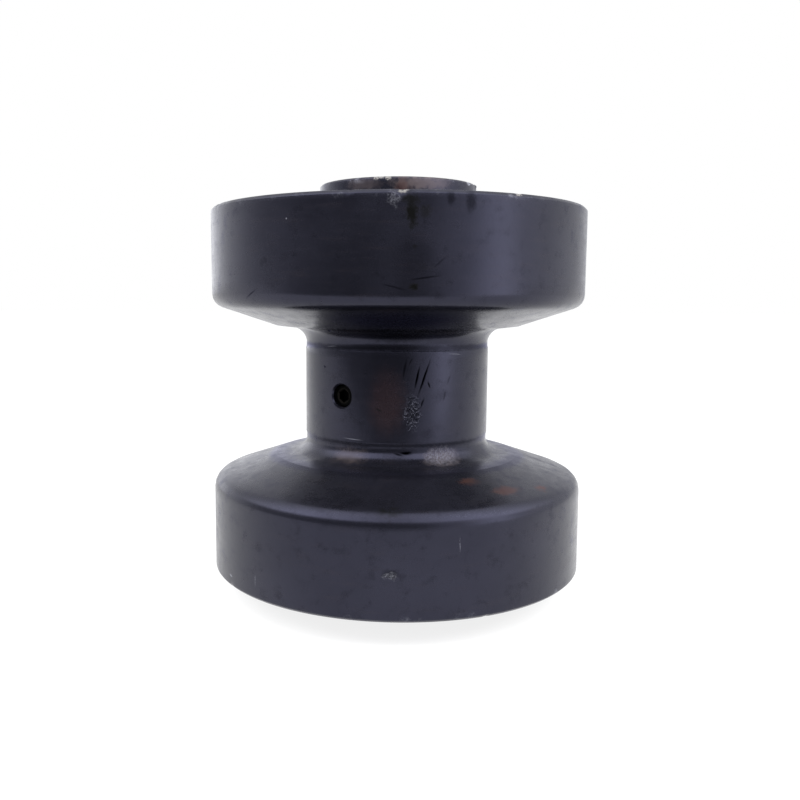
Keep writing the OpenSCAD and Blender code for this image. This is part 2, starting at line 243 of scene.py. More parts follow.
def turn(name, rows, material, steps=192, knocks=None, pitch=1.0, depth=0.0, seed=0.0):
    """Turns an outline into a finished mesh object at the origin."""
    rows = np.asarray(rows) * [MM, MM, MM, 1, MM, 1]
    places = np.column_stack([rows[:, 0], np.zeros(len(rows)), rows[:, 1]])
    piece = points_object(name, places, path=rows[:, 2], wear=rows[:, 3], wander=rows[:, 4],
                          thread=rows[:, 5])
    modifier = piece.modifiers.new("Lathe", "NODES")
    modifier.node_group = lathe
    for key, value in {
        "Steps round": steps, "Sharp angle": SHARP_ANGLE, "Seed": seed, "Thread pitch": pitch * MM,
        "Thread depth": depth * MM, "Knocks": knocks, "Material": material,
    }.items():
        modifier[lathe_input[key]] = value
    return as_mesh(piece)


def cut_away(piece, *cutters):
    """Cuts solid shapes out of a piece, and throws the cutters away."""
    for cutter in cutters:
        modifier = piece.modifiers.new("Cut", "BOOLEAN")
        modifier.operation = "DIFFERENCE"
        modifier.solver = "MANIFOLD"
        modifier.object = cutter
    as_mesh(piece)
    piece.data.set_sharp_from_angle(angle=SHARP_ANGLE)
    for cutter in cutters:
        bpy.data.objects.remove(cutter)
    return piece


def aim(piece, direction, height_mm=0.0):
    """Lays a piece that was made along +Z across the roller, pointing out at a bearing in degrees."""
    turned = Matrix.Rotation(math.radians(direction), 4, "Z") @ Matrix.Rotation(math.pi / 2, 4, "Y")
    piece.data.transform(Matrix.Translation((0, 0, height_mm * MM)) @ turned)
    return piece


def finish_piece(piece, body_name, slot_name, *nodes):
    """Says what the piece rides on and which CAD nodes it replaces.  Its slot name is not used."""
    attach(piece, body_name)
    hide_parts(*nodes)


def new_material(name):
    """An empty material: itself, its tree, its shader and the place on the object."""
    material = bpy.data.materials.new(name)
    material.use_nodes = True
    tree = material.node_tree
    place = add(tree, "ShaderNodeTexCoord").outputs["Object"]
    return material, tree, tree.nodes["Principled BSDF"], place


# Chassis enamel: a black alkyd enamel, sprayed and air dried to a semi-gloss.  It gives a deep
# blue-black with a broad soft sheen, a fine orange peel, and spots of wear, dirt and rust, with
# painted light on what faces up and painted highlights and shade at some marks.
ENAMEL_DEEP = "#07070a"
ENAMEL_CHALKED = "#101015"
ENAMEL_WARM = "#120f10"
ENAMEL_THIN = "#030304"
ENAMEL_SHEEN = "#d6d7ff"
ENAMEL_ROUGHNESS = 0.23
# Painted light from above: the lighter colour laid on what faces up.
TOP_PAINTED_LIGHT = "#0e0e12"
# Grey for dust and thinned paint, and also the colour of painted glints.
PRIMER_DUST_AND_GLINT = "#8f9098"
BARE_STEEL = "#a8a49c"
# The painted highlight grey of the chatter's ridges and the grainy fillet patch, and the painted shade of the
# chatter's grooves.
PAINTED_HIGHLIGHT_GREY = "#55565e"
CHATTER_PAINTED_SHADE = "#010102"
PAINT_RELIEF_MM = 0.018
STREAK_SQUASH = 7.0     # how much wider than high a streak of paint is
UPWARD_ROUGHNESS = 0.14
UPWARD_FACING = (0.35, 0.85)      # how far up a face looks where the painted top light and the roughening begin and where they are whole
THINNED = 0.5           # the most that a rubbed corner shows of the grey under the gloss
WORN_THROUGH = (0.45, 0.75)     # rubbing at which steel begins to show and at which it is bare

# Size in mm, detail and roughness of each noise in the paint, then how far it changes the
# polish and the height of the film.  The grain of the real peel is finer than is drawn here.
GRAINS = {
    "cloud": (34.0, 4.0, 0.5, 0.14, 0.0), "mottle": (5.0, 6.0, 0.68, 0.24, 0.5),
    "peel": (0.9, 1.0, 0.5, 0.0, 0.5), "speck": (0.55, 3.0, 0.7, 0.16, 0.35),
    "sagging": (15.0, 2.0, 0.5, 0.0, 1.6), "streak": (14.0, 4.0, 0.6, 0.16, 0.0),
    "shake": (2.2, 4.0, 0.65, 0.0, 0.0), "rub": (7.0, 6.0, 0.72, 0.0, 0.0),
}
# Colours that lie over each other: the noise that places one, from where to where, and how much.
# The fades are read the same way: specks that break a mark up, patches where the sheen is held
# back, and places where a corner is rubbed.
LAYERS = [("cloud", 0.35, 0.7, 1.0, ENAMEL_CHALKED), ("streak", 0.5, 0.75, 0.5, ENAMEL_WARM),
          ("mottle", 0.52, 0.8, 0.6, ENAMEL_THIN)]
FADES = {"broken": ("speck", 0.38, 0.62, 1.0), "sheen": ("mottle", 0.5, 0.74, 0.22),
         "patchy": ("rub", 0.55, 0.76, 1.0)}
# What each kind of mark is: its colour, its roughness, how much of the sheen it takes away, its
# height, how far its edge is shaken, and whether it is broken up by specks.  A near-black metal
# colour leaves a spot without a sheen of its own, for an oily or burnt spot and for painted shade.
# A glint is a painted highlight, and grain and some scuffs carry painted highlights too.
MARKS = {
    "dull": ("#060608", 0.3, 1.0, 0.0, 0.6, False), "scuff_and_highlight": ("#4c4340", 0.45, 0.0, 0.0, 1.3, False),
    "rust": ("#3a2216", 0.42, 0.25, 0.0, 1.2, False), "olive": ("#0f0f09", 0.3, 0.75, 0.0, 1.3, False),
    "dark": ("#020203", 0.3, 1.0, -1.1, 0.9, False), "pale": (PRIMER_DUST_AND_GLINT, 0.55, 0.0, 0.0, 1.3, True),
    "scratch": ("#010102", 0.25, 1.0, -1.6, 0.35, False), "glint": (PRIMER_DUST_AND_GLINT, 0.45, 0.0, 1.2, 0.35, False),
    "bare": (BARE_STEEL, 0.38, 1.0, -1.1, 1.2, True), "grain": (PAINTED_HIGHLIGHT_GREY, 0.35, 0.0, 7.0, 1.2, True),
}
# Each rung of a chatter mark is a ridge with a painted highlight and a groove with painted shade:
# how far up the rung it lies, its width, its colour, how much of the sheen it takes away, and its height.
CHATTER_STROKES = [(0.0, 0.13, PAINTED_HIGHLIGHT_GREY, 0.0, 2.5), (0.28, 0.17, CHATTER_PAINTED_SHADE, 1.0, -2.5)]
CHATTER_LEAN = (0.45, 2.6)      # half the width of a zigzag, and how steeply it leans
CHATTER_SHAKE = 5.0             # mm
CHATTER_DEPTH = 4.0             # mm
CHATTER_FULL = 0.5
CHATTER_STRENGTH = 0.9
STROKE_FULL = 0.4
SHAKE_MOST = 2.4
LEAST_DEPTH = 3.0               # mm that an oval reaches in and out of the surface at least


def oval(tree, place, shake, at, half, tilt, full, strength):
    """A soft oval laid on the surface: at (bearing, z, r), with half its depth, width and height,
    in degrees and mm.  Its place is shaken, so its edge is ragged."""
    bearing, z, r = at
    turned = math.radians(bearing + FRONT)
    shaken = add(tree, "ShaderNodeVectorMath", {0: place, 1: shake}, operation="ADD").outputs[0]
    local = add(tree, "ShaderNodeMapping", {
        "Vector": shaken, "Location": (r * MM * math.cos(turned), r * MM * math.sin(turned), z * MM),
        "Rotation": (math.radians(tilt), 0.0, turned), "Scale": [size * MM for size in half],
    }, vector_type="TEXTURE").outputs[0]
    away = add(tree, "ShaderNodeVectorMath", {0: local}, operation="LENGTH").outputs["Value"]
    mask = add(tree, "ShaderNodeMapRange", {0: away, 1: full, 2: 1.0, 3: strength, 4: 0.0},
               interpolation_type="SMOOTHSTEP").outputs[0]
    return local, mask


def enamel(name, marks, chatter=None):
    """Black chassis enamel with its own marks: (kind, bearing from the front, z, r, half width,
    half height, tilt, strength), in degrees and mm.  Chatter is a ladder of short strokes."""
    material, tree, shader, place = new_material(name)
    wear = add(tree, "ShaderNodeAttribute", attribute_name="wear").outputs["Fac"]
    stretched = add(tree, "ShaderNodeMapping", {
        "Vector": place, "Scale": (1.0, 1.0, STREAK_SQUASH)}).outputs[0]
    noise = {}
    for key, (size_mm, detail, roughness, *_) in GRAINS.items():
        noise[key] = add(tree, "ShaderNodeTexNoise", {
            "Vector": stretched if key == "streak" else place, "Scale": 1 / (size_mm * MM),
            "Detail": detail, "Roughness": roughness}).outputs

    colour = linear(ENAMEL_DEEP)
    for key, low, high, most, laid in LAYERS:
        share = add(tree, "ShaderNodeMapRange", {0: noise[key][0], 1: low, 2: high, 3: 0.0, 4: most},
                    interpolation_type="SMOOTHSTEP").outputs[0]
        colour = add(tree, "ShaderNodeMix", {0: share, 6: colour, 7: linear(laid)},
                     data_type="RGBA").outputs[2]
    rough = ENAMEL_ROUGHNESS
    relief = 0.0
    for key, (*_, matt, height) in GRAINS.items():
        if matt:
            off = add(tree, "ShaderNodeMath", {0: noise[key][0], 1: 0.5},
                      operation="SUBTRACT").outputs[0]
            rough = add(tree, "ShaderNodeMath", {0: off, 1: matt, 2: rough},
                        operation="MULTIPLY_ADD").outputs[0]
        if height:
            relief = add(tree, "ShaderNodeMath", {0: noise[key][0], 1: height, 2: relief},
                         operation="MULTIPLY_ADD").outputs[0]

    # What faces up is painted lighter, as painted light from above, and made rougher.
    facing = add(tree, "ShaderNodeNewGeometry").outputs["Normal"]
    facing = add(tree, "ShaderNodeSeparateXYZ", {0: facing}).outputs[2]
    top_lit = add(tree, "ShaderNodeMapRange", {
        0: facing, 1: UPWARD_FACING[0], 2: UPWARD_FACING[1], 3: 0.0, 4: 1.0},
        interpolation_type="SMOOTHSTEP").outputs[0]
    top_lit = add(tree, "ShaderNodeMath", {0: top_lit, 1: noise["mottle"][0]},
                operation="MULTIPLY").outputs[0]
    colour = add(tree, "ShaderNodeMix", {0: top_lit, 6: colour, 7: linear(TOP_PAINTED_LIGHT)},
                 data_type="RGBA").outputs[2]
    rough = add(tree, "ShaderNodeMath", {0: top_lit, 1: UPWARD_ROUGHNESS, 2: rough},
                operation="MULTIPLY_ADD").outputs[0]

    fade = {}
    for key, (grain, low, high, most) in FADES.items():
        fade[key] = add(tree, "ShaderNodeMapRange", {
            0: noise[grain][0], 1: low, 2: high, 3: 0.0, 4: most},
            interpolation_type="SMOOTHSTEP").outputs[0]
    metal = fade["sheen"]
    shake = add(tree, "ShaderNodeVectorMath", {0: noise["shake"][1], 1: (0.5, 0.5, 0.5)},
                operation="SUBTRACT").outputs[0]

    # The marks of each kind are gathered into one mask and laid on together.  A thin mark is
    # shaken less than a wide one, and none by more than a mark of SHAKE_MOST mm.
    for kind, (stain, matt, hold, height, ragged, speckled) in MARKS.items():
        covered = None
        for _, bearing, z, r, half_wide, half_high, tilt, strength in [m for m in marks if m[0] == kind]:
            swing = min(half_wide, half_high, SHAKE_MOST) * 2 * ragged * MM
            swing = add(tree, "ShaderNodeVectorMath", {0: shake, "Scale": swing},
                        operation="SCALE").outputs[0]
            half = (max(LEAST_DEPTH, half_wide * 0.5), half_wide, half_high)
            _, mask = oval(tree, place, swing, (bearing, z, r), half, tilt, FULL_SHARE, strength)
            covered = add(tree, "ShaderNodeMath", {0: mask, 1: covered or 0.0},
                          operation="MAXIMUM").outputs[0]
        if covered is None:
            continue
        if speckled:
            covered = add(tree, "ShaderNodeMath", {0: covered, 1: fade["broken"]},
                          operation="MULTIPLY").outputs[0]
        colour = add(tree, "ShaderNodeMix", {0: covered, 6: colour, 7: linear(stain)},
                     data_type="RGBA").outputs[2]
        rough = add(tree, "ShaderNodeMix", {0: covered, 2: rough, 3: matt}).outputs[0]
        metal = add(tree, "ShaderNodeMix", {0: covered, 2: metal, 3: hold}).outputs[0]
        if height:
            relief = add(tree, "ShaderNodeMath", {0: covered, 1: height, 2: relief},
                         operation="MULTIPLY_ADD").outputs[0]

    # Chatter is a zigzag ladder inside one oval, with a ridge and a groove for each rung, painted with a
    # highlight and with shade.
    if chatter:
        bearing, z, r, half_wide, half_high, rungs = chatter
        swing = add(tree, "ShaderNodeVectorMath", {0: shake, "Scale": CHATTER_SHAKE * MM},
                    operation="SCALE").outputs[0]
        half = (CHATTER_DEPTH, half_wide, half_high)
        local, mask = oval(tree, place, swing, (bearing, z, r), half, 0.0, CHATTER_FULL, CHATTER_STRENGTH)
        parts = add(tree, "ShaderNodeSeparateXYZ", {0: local}).outputs
        lean = add(tree, "ShaderNodeMath", {0: parts[1], 1: CHATTER_LEAN[0]},
                   operation="PINGPONG").outputs[0]
        lean = add(tree, "ShaderNodeMath", {0: lean, 1: CHATTER_LEAN[1]},
                   operation="MULTIPLY").outputs[0]
        rung = add(tree, "ShaderNodeMath", {0: parts[2], 1: rungs, 2: lean},
                   operation="MULTIPLY_ADD").outputs[0]
        for shift, width, stain, hold, height in CHATTER_STROKES:
            stroke = add(tree, "ShaderNodeMath", {0: rung, 1: shift}, operation="ADD").outputs[0]
            stroke = add(tree, "ShaderNodeMath", {0: stroke, 1: 0.5}, operation="PINGPONG").outputs[0]
            stroke = add(tree, "ShaderNodeMapRange", {
                0: stroke, 1: width * STROKE_FULL, 2: width, 3: 1.0, 4: 0.0}).outputs[0]
            stroke = add(tree, "ShaderNodeMath", {0: stroke, 1: mask}, operation="MULTIPLY").outputs[0]
            share = stroke
            if not hold:
                share = add(tree, "ShaderNodeMath", {0: stroke, 1: fade["broken"]},
                            operation="MULTIPLY").outputs[0]
            colour = add(tree, "ShaderNodeMix", {0: share, 6: colour, 7: linear(stain)},
                         data_type="RGBA").outputs[2]
            metal = add(tree, "ShaderNodeMix", {0: share, 2: metal, 3: hold}).outputs[0]
            relief = add(tree, "ShaderNodeMath", {0: stroke, 1: height, 2: relief},
                         operation="MULTIPLY_ADD").outputs[0]

    # Corners are rubbed: the enamel thins to a grey line, and breaks through to steel in places.
    rubbed = add(tree, "ShaderNodeMath", {0: wear, 1: fade["patchy"]}, operation="MULTIPLY").outputs[0]
    thinned = add(tree, "ShaderNodeMath", {0: rubbed, 1: THINNED}, operation="MULTIPLY").outputs[0]
    bare = add(tree, "ShaderNodeMapRange", {
        0: rubbed, 1: WORN_THROUGH[0], 2: WORN_THROUGH[1], 3: 0.0, 4: 1.0},
        interpolation_type="SMOOTHSTEP").outputs[0]
    for share, laid in ((thinned, PRIMER_DUST_AND_GLINT), (bare, BARE_STEEL)):
        colour = add(tree, "ShaderNodeMix", {0: share, 6: colour, 7: linear(laid)},
                     data_type="RGBA").outputs[2]
    metal = add(tree, "ShaderNodeMath", {0: metal, 1: bare}, operation="MAXIMUM").outputs[0]
    bump = add(tree, "ShaderNodeBump", {"Distance": PAINT_RELIEF_MM * MM, "Height": relief}).outputs[0]
    for key, value in {"Base Color": colour, "Roughness": rough, "Metallic": metal, "Normal": bump}.items():
        tree.links.new(value, shader.inputs[key])
    shader.inputs["Specular Tint"].default_value = linear(ENAMEL_SHEEN)
    return material


# The turned neck runs out in a shallow band at each end, then rises in a fillet to the ledge.
NECK_R = 35.0
NECK_BAND_DROP = 0.25
NECK_BAND_Z = 16.1
NECK_BAND_STEP = 0.8
NECK_WANDER = 0.9
NECK_HALF = 18.7
BAND_R = NECK_R - NECK_BAND_DROP
ROOT_R = 6.0
ROOT_START = math.radians(9)
ROOT_STEPS = (9, 16, 23, 30, 37, 44, 51, 58, 65, 72, 79)
LEDGE_R = 46.5
LEDGE_Z = 24.5
FLANK_RISE = 7.89
RIM_ROUNDING = 0.45
CHAMFER = 1.0
PLUG_BEARING = 236.0
shell_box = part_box("roller_shell")
tread_r = shell_box[1].x / MM
body_half = shell_box[1].z / MM

shell_marks = [
    # Painted shade in the runout bands at the neck's ends, in the lower ledge's crease, and under the upper
    # flange at the front.
    ("dull", 0, 17.4, 0, 300, 1.5, 0, 0.45), ("dull", 0, -16.9, 0, 300, 1.9, 0, 0.25),
    ("dull", 0, -24.7, 0, 300, 1.2, 0, 0.3), ("dull", 0, 27.5, 55, 30, 8, 0, 0.6),
    ("dull", 0, 21.2, 36, 15, 2.8, 0, 0.55),
    # The chip at the upper rim, and what has run down from it.
    ("olive", 3.2, 64.0, 70, 3.0, 3.2, 0, 0.75), ("olive", 3.6, 59.8, 70, 2.4, 5.6, 0, 0.95),
    ("olive", 6.9, 60.5, 70, 2.6, 2.6, 0, 0.5), ("bare", 1.4, 66.6, 69.6, 2.0, 0.9, 0, 0.6),
    ("pale", -0.7, 64.3, 70, 3.2, 2.8, 0, 0.14), ("dull", 13.1, 64.5, 70, 1.9, 3.0, 0, 0.55),
    ("dull", 18.3, 63.6, 70, 2.2, 4.6, 0, 0.55), ("bare", 32.6, 66.6, 69.6, 1.6, 0.7, 0, 0.9),
    ("pale", 79, 64, 70, 2.6, 5.0, 0, 0.5), ("pale", -29.5, 59, 70, 0.35, 0.35, 0, 0.35),
    # Scratches and rubs on the treads.
    ("scratch", -42.8, 36, 70, 0.4, 4.5, -62, 0.6), ("olive", 4.1, 38.1, 70, 2.2, 1.3, 0, 0.95),
    ("scratch", 6.8, 40.8, 70, 6.5, 0.45, 8, 0.5), ("scratch", -0.8, 38.0, 70, 5.0, 0.4, -14, 0.4),
    ("scratch", 10.5, 45.5, 70, 0.35, 3.5, -50, 0.35), ("olive", 4.3, 50.0, 70, 1.2, 0.9, 0, 0.5),
    ("dull", 4.0, 46.0, 70, 9.0, 11.0, 0, 0.18), ("dark", -1.0, -51.0, 70, 3.6, 2.0, 0, 0.6),
    ("pale", -1.0, -51.5, 70, 3.2, 1.6, 0, 0.3), ("pale", 64.5, -51, 70, 0.4, 7.0, 4, 0.5),
    ("pale", 67, -48, 70, 0.3, 4.0, -3, 0.45), ("pale", -55.6, -62.6, 70, 1.2, 0.9, 0, 0.5),
    ("pale", -42.3, -60, 70, 0.25, 3.0, 0, 0.25), ("pale", 16.9, -42, 70, 0.25, 3.5, 0, 0.2),
    # Rust that bleeds through the lower flank.
    ("rust", 24.3, -33.5, 65, 4.0, 2.2, 0, 0.8), ("rust", 52.3, -31.5, 63, 4.5, 3.0, 0, 0.8),
    ("rust", 38, -30, 60, 8.0, 4.0, 0, 0.5), ("rust", 28, -27, 52, 5.0, 3.0, 0, 0.4),
    # The glint on the next line is a painted highlight.
    ("olive", -1.5, -33, 67, 6.0, 3.0, 0, 0.5), ("glint", 27.0, -34.5, 67, 0.7, 0.4, 0, 0.6),
    # Chain or strap marks on the neck, right of the plug.
    ("scratch", 15.9, 7.2, 35, 0.6, 8.6, -19, 1.0), ("scratch", 11.8, 7.4, 35, 0.6, 5.4, -13, 1.0),
    ("scratch", 4.6, 10.5, 35, 0.6, 4.6, -10, 0.6), ("scratch", 7.9, 13.0, 35, 0.4, 1.8, -30, 0.6),
    ("scratch", 18.8, 4.7, 35, 0.5, 1.7, 20, 0.9), ("scratch", 29.0, 0.6, 35, 0.5, 2.8, -14, 0.4),
    ("scratch", 31.9, 6.2, 35, 0.45, 2.4, -26, 0.35), ("scratch", 14.9, -1.6, 35, 0.5, 2.4, -20, 0.8),
    ("dull", 8.4, 0.0, 35, 1.6, 1.6, 0, 0.5), ("dull", 9.1, -4.7, 35, 3.8, 6.5, 0, 0.3),
    ("rust", -5.5, -1, 35, 9.0, 16, 0, 0.2), ("olive", -10.0, -4.2, 35, 1.8, 0.5, -30, 0.6),
    ("dark", -38.3, 23.2, 39, 0.8, 0.6, 0, 0.9), ("dark", -47.5, 10, 35, 0.6, 0.6, 0, 0.9),
    # Painted highlights along the edges of the runout bands at the neck's ends.
    ("glint", -42.0, 17.6, 35, 3.2, 0.22, 4, 0.3), ("glint", 36.0, 15.2, 35, 3.6, 0.22, -4, 0.45),
    ("glint", -26.0, -15.0, 35, 4.8, 0.25, -2, 0.25),
    # Debris in the lower runout, and rough patches on the fillet below it, lightened as painted highlights,
    # the right one grainy.
    ("scratch", 5.7, -19.3, 35.1, 3.2, 0.9, 0, 1.0), ("scratch", 1.5, -19.8, 35.2, 2.2, 0.5, -12, 0.8),
    ("grain", 27.0, -20.8, 36.5, 8.5, 4.8, 0, 0.6), ("scuff_and_highlight", 27.0, -20.8, 36.5, 10.0, 4.6, 0, 0.35),
    ("scuff_and_highlight", -28.0, -20.6, 36.5, 10.0, 4.0, 0, 0.3),
]
# Where a chain chattered down the neck: bearing, z, r, half width, half height, rungs each way.
shell_chatter = (9.4, -5.0, 35, 3.6, 8.0, 5.0)
shell_enamel = enamel("black_chassis_enamel", shell_marks, shell_chatter)

# The outside from the middle of the neck to the tread face, and the bore back from there.
outer = [
    corner(NECK_R, 2.8, stretch=2.7), corner(NECK_R, NECK_BAND_Z, wander=NECK_WANDER, stretch=0.4),
    corner(BAND_R, NECK_BAND_Z + NECK_BAND_STEP, wander=NECK_WANDER, stretch=1.4),
    corner(BAND_R, NECK_HALF),
]
for degrees in ROOT_STEPS:
    turned = math.radians(degrees)
    outer.append(corner(BAND_R + ROOT_R * (math.cos(ROOT_START) - math.cos(turned)),
                        NECK_HALF + ROOT_R * (math.sin(turned) - math.sin(ROOT_START)), stretch=2.2))
outer += [
    corner(LEDGE_R, LEDGE_Z, 0.6, stretch=2.6), corner(69.96, LEDGE_Z + FLANK_RISE, 5.3, stretch=4.6),
    corner(tread_r, 58, stretch=1.6),
    corner(tread_r, body_half - CHAMFER, RIM_ROUNDING, wear=0.5, stretch=1),
    corner(tread_r - CHAMFER, body_half, RIM_ROUNDING, wear=0.45, stretch=4),
]
inner = [
    corner(35.8, body_half, 0.1, wear=0.5), corner(35.3, body_half - 0.5, 0.1, stretch=6),
    corner(35.3, 53.94, 0.2), corner(31.8, 53.94, 0.2), corner(31.8, 52.54, 0.3), corner(30.79, 49.44, 0.2),
    corner(30.79, 48.94), corner(25.2, 48.94, 0.2), corner(25.2, 46.44),
    corner(20.55, 46.44, 0.2, stretch=16), corner(20.55, 15.94, 0.3), corner(23.0, 15.94, 0.3, stretch=16),
]
# Knocks on the rims and the neck: bearing, z, r, radius and depth.
knock_list = [
    (1.0, 66.7, 69.8, 1.9, 0.35), (32.6, 66.8, 69.7, 1.5, 0.3), (-12.0, 66.9, 69.6, 1.3, 0.2),
    (79.0, 66.6, 69.7, 2.2, 0.3), (-63.0, 66.9, 69.6, 1.8, 0.25), (118.0, 66.7, 69.7, 2.4, 0.3),
    (171.0, 66.8, 69.7, 1.8, 0.3), (-128.0, 66.8, 69.7, 2.2, 0.35), (-55.6, -66.4, 69.8, 1.6, 0.25),
    (25.0, -66.9, 69.6, 1.5, 0.2), (97.0, -66.7, 69.7, 2.0, 0.3), (-150.0, -66.7, 69.7, 2.1, 0.3),
    (-1.0, -51.3, 70.0, 2.4, 0.12), (-38.3, 23.2, 38.7, 1.0, 0.2), (-47.5, 10.0, 35.0, 0.9, 0.15),
]
knocks = points_object(
    "shell_knocks",
    [Vector((r * math.cos(math.radians(b + FRONT)), r * math.sin(math.radians(b + FRONT)), z)) * MM
     for b, z, r, size, depth in knock_list],
    size=[k[3] * MM for k in knock_list], depth=[-k[4] * MM for k in knock_list],
)
shell_rows = outline(other_end(outer) + outer + inner + other_end(inner))
SHELL_STEPS = 360       # round the shell: all its faces together stay under 200 thousand
shell = turn("shell_body", shell_rows, shell_enamel, steps=SHELL_STEPS, knocks=knocks, seed=3.0)
hole = turn("plug_hole", outline([
    corner(0, 22), corner(3.0, 22), corner(3.0, 26.6), corner(4.1, 26.6), corner(4.1, 34.3),
    corner(4.6, 34.8), corner(4.6, 36.5), corner(0, 36.5),
]), shell_enamel, steps=64)
cut_away(shell, aim(hole, PLUG_BEARING))
finish_piece(shell, "roller", "shell_paint", "roller_shell")
bpy.data.objects.remove(knocks)

# ---------------------------------------------------------------------------------------------
# Filler plug.  A steel screw plug with a hexagon socket, blackened and oily, screwed in until
# its face lies just under the neck.  It closes the hole that the roller is filled through.
# ---------------------------------------------------------------------------------------------
PLUG_TOP = 33.6
PLUG_FOOT = 26.6
PLUG_R = 4.05
PLUG_PITCH = 1.25
PLUG_THREAD = -0.6      # cut into the plug
SOCKET_CORNER_R = 2.0 / math.cos(math.radians(30))
SOCKET_FLOOR = 31.0
BLACKED_STEEL = "#020202"
BLACKED_RUB = "#080808"
KEY_WORN_STEEL = "#1d1b19"
RINGS_ROUND = 30.0      # noise waves per metre round the piece
PATCH_MM = 9.0
PIT_MM = 0.7
STAIN_FADE = (0.42, 0.72, 0.85)     # from where to where in the noise, and how much
PATCH_ROUGHNESS = 0.35
FEED_ROUGHNESS = 0.18
ROUGHNESS_BACK = 0.17   # taken off first, so that patches and rings spread about the set value


def worked_metal(name, base, stained, roughness, feed_mm, metallic=1.0, relief_mm=0.006, worn=None):
    """A turned, ground or moulded surface: fine rings round the piece, stains and uneven polish."""
    material, tree, shader, place = new_material(name)
    path = add(tree, "ShaderNodeAttribute", attribute_name="path").outputs["Fac"]
    split = add(tree, "ShaderNodeSeparateXYZ", {0: place}).outputs
    across = add(tree, "ShaderNodeMath", {0: split[0], 1: RINGS_ROUND}, operation="MULTIPLY").outputs[0]
    deep = add(tree, "ShaderNodeMath", {0: split[1], 1: RINGS_ROUND}, operation="MULTIPLY").outputs[0]
    up = add(tree, "ShaderNodeMath", {0: path, 1: 1 / (feed_mm * MM)}, operation="MULTIPLY").outputs[0]
    rings = add(tree, "ShaderNodeCombineXYZ", {0: across, 1: deep, 2: up}).outputs[0]
    feed = add(tree, "ShaderNodeTexNoise", {"Vector": rings, "Scale": 1.0, "Detail": 3.0}).outputs[0]
    patch = add(tree, "ShaderNodeTexNoise", {
        "Vector": place, "Scale": 1 / (PATCH_MM * MM), "Detail": 5.0, "Roughness": 0.62}).outputs[0]
    pits = add(tree, "ShaderNodeTexNoise", {
        "Vector": place, "Scale": 1 / (PIT_MM * MM), "Detail": 2.0}).outputs[0]
    stain = add(tree, "ShaderNodeMapRange", {
        0: patch, 1: STAIN_FADE[0], 2: STAIN_FADE[1], 3: 0.0, 4: STAIN_FADE[2]},
        interpolation_type="SMOOTHSTEP").outputs[0]
    colour = add(tree, "ShaderNodeMix", {0: stain, 6: linear(base), 7: linear(stained)},
                 data_type="RGBA").outputs[2]
    wear = add(tree, "ShaderNodeAttribute", attribute_name="wear").outputs["Fac"]
    colour = add(tree, "ShaderNodeMix", {0: wear, 6: colour, 7: linear(worn or base)},
                 data_type="RGBA").outputs[2]
    rough = add(tree, "ShaderNodeMath", {0: patch, 1: PATCH_ROUGHNESS, 2: roughness - ROUGHNESS_BACK},
                operation="MULTIPLY_ADD").outputs[0]
    rough = add(tree, "ShaderNodeMath", {0: feed, 1: FEED_ROUGHNESS, 2: rough},
                operation="MULTIPLY_ADD").outputs[0]
    height = add(tree, "ShaderNodeMath", {0: pits, 1: 0.5, 2: feed},
                 operation="MULTIPLY_ADD").outputs[0]
    bump = add(tree, "ShaderNodeBump", {"Distance": relief_mm * MM, "Height": height}).outputs[0]
    for key, value in {"Base Color": colour, "Roughness": rough, "Normal": bump}.items():
        tree.links.new(value, shader.inputs[key])
    shader.inputs["Metallic"].default_value = metallic
    return material


# Plug steel: turned, blacked by hot oxide and left oily, so it reads as a hole darker than the
# paint.  The key has rubbed the edge of the socket to a brownish grey.
plug_steel = worked_metal("blacked_plug_steel", BLACKED_RUB, BLACKED_STEEL, 0.4, 0.3, worn=KEY_WORN_STEEL)
plug = turn("plug_body", outline([
    corner(0, PLUG_FOOT), corner(PLUG_R - 0.5, PLUG_FOOT, 0.1),
    corner(PLUG_R, PLUG_FOOT + 0.5, stretch=0.3), corner(PLUG_R, PLUG_FOOT + 1.2, thread=1, stretch=0.16),
    corner(PLUG_R, PLUG_TOP - 1.0, thread=1, stretch=0.3), corner(PLUG_R, PLUG_TOP - 0.5, 0.15),
    corner(PLUG_R - 0.5, PLUG_TOP, 0.15), corner(2.75, PLUG_TOP), corner(2.55, PLUG_TOP, 0.15, wear=0.9),
    corner(2.2, PLUG_TOP - 0.35, wear=0.9), corner(0, PLUG_TOP - 0.35),
], closed=False), plug_steel, steps=72, pitch=PLUG_PITCH, depth=PLUG_THREAD)
socket = turn("socket", outline([
    corner(0, SOCKET_FLOOR), corner(SOCKET_CORNER_R, SOCKET_FLOOR), corner(SOCKET_CORNER_R, PLUG_TOP + 1),
    corner(0, PLUG_TOP + 1),
]), plug_steel, steps=6)
cut_away(plug, socket)
finish_piece(aim(plug, PLUG_BEARING), "roller", "plug_steel", "filler_plug")

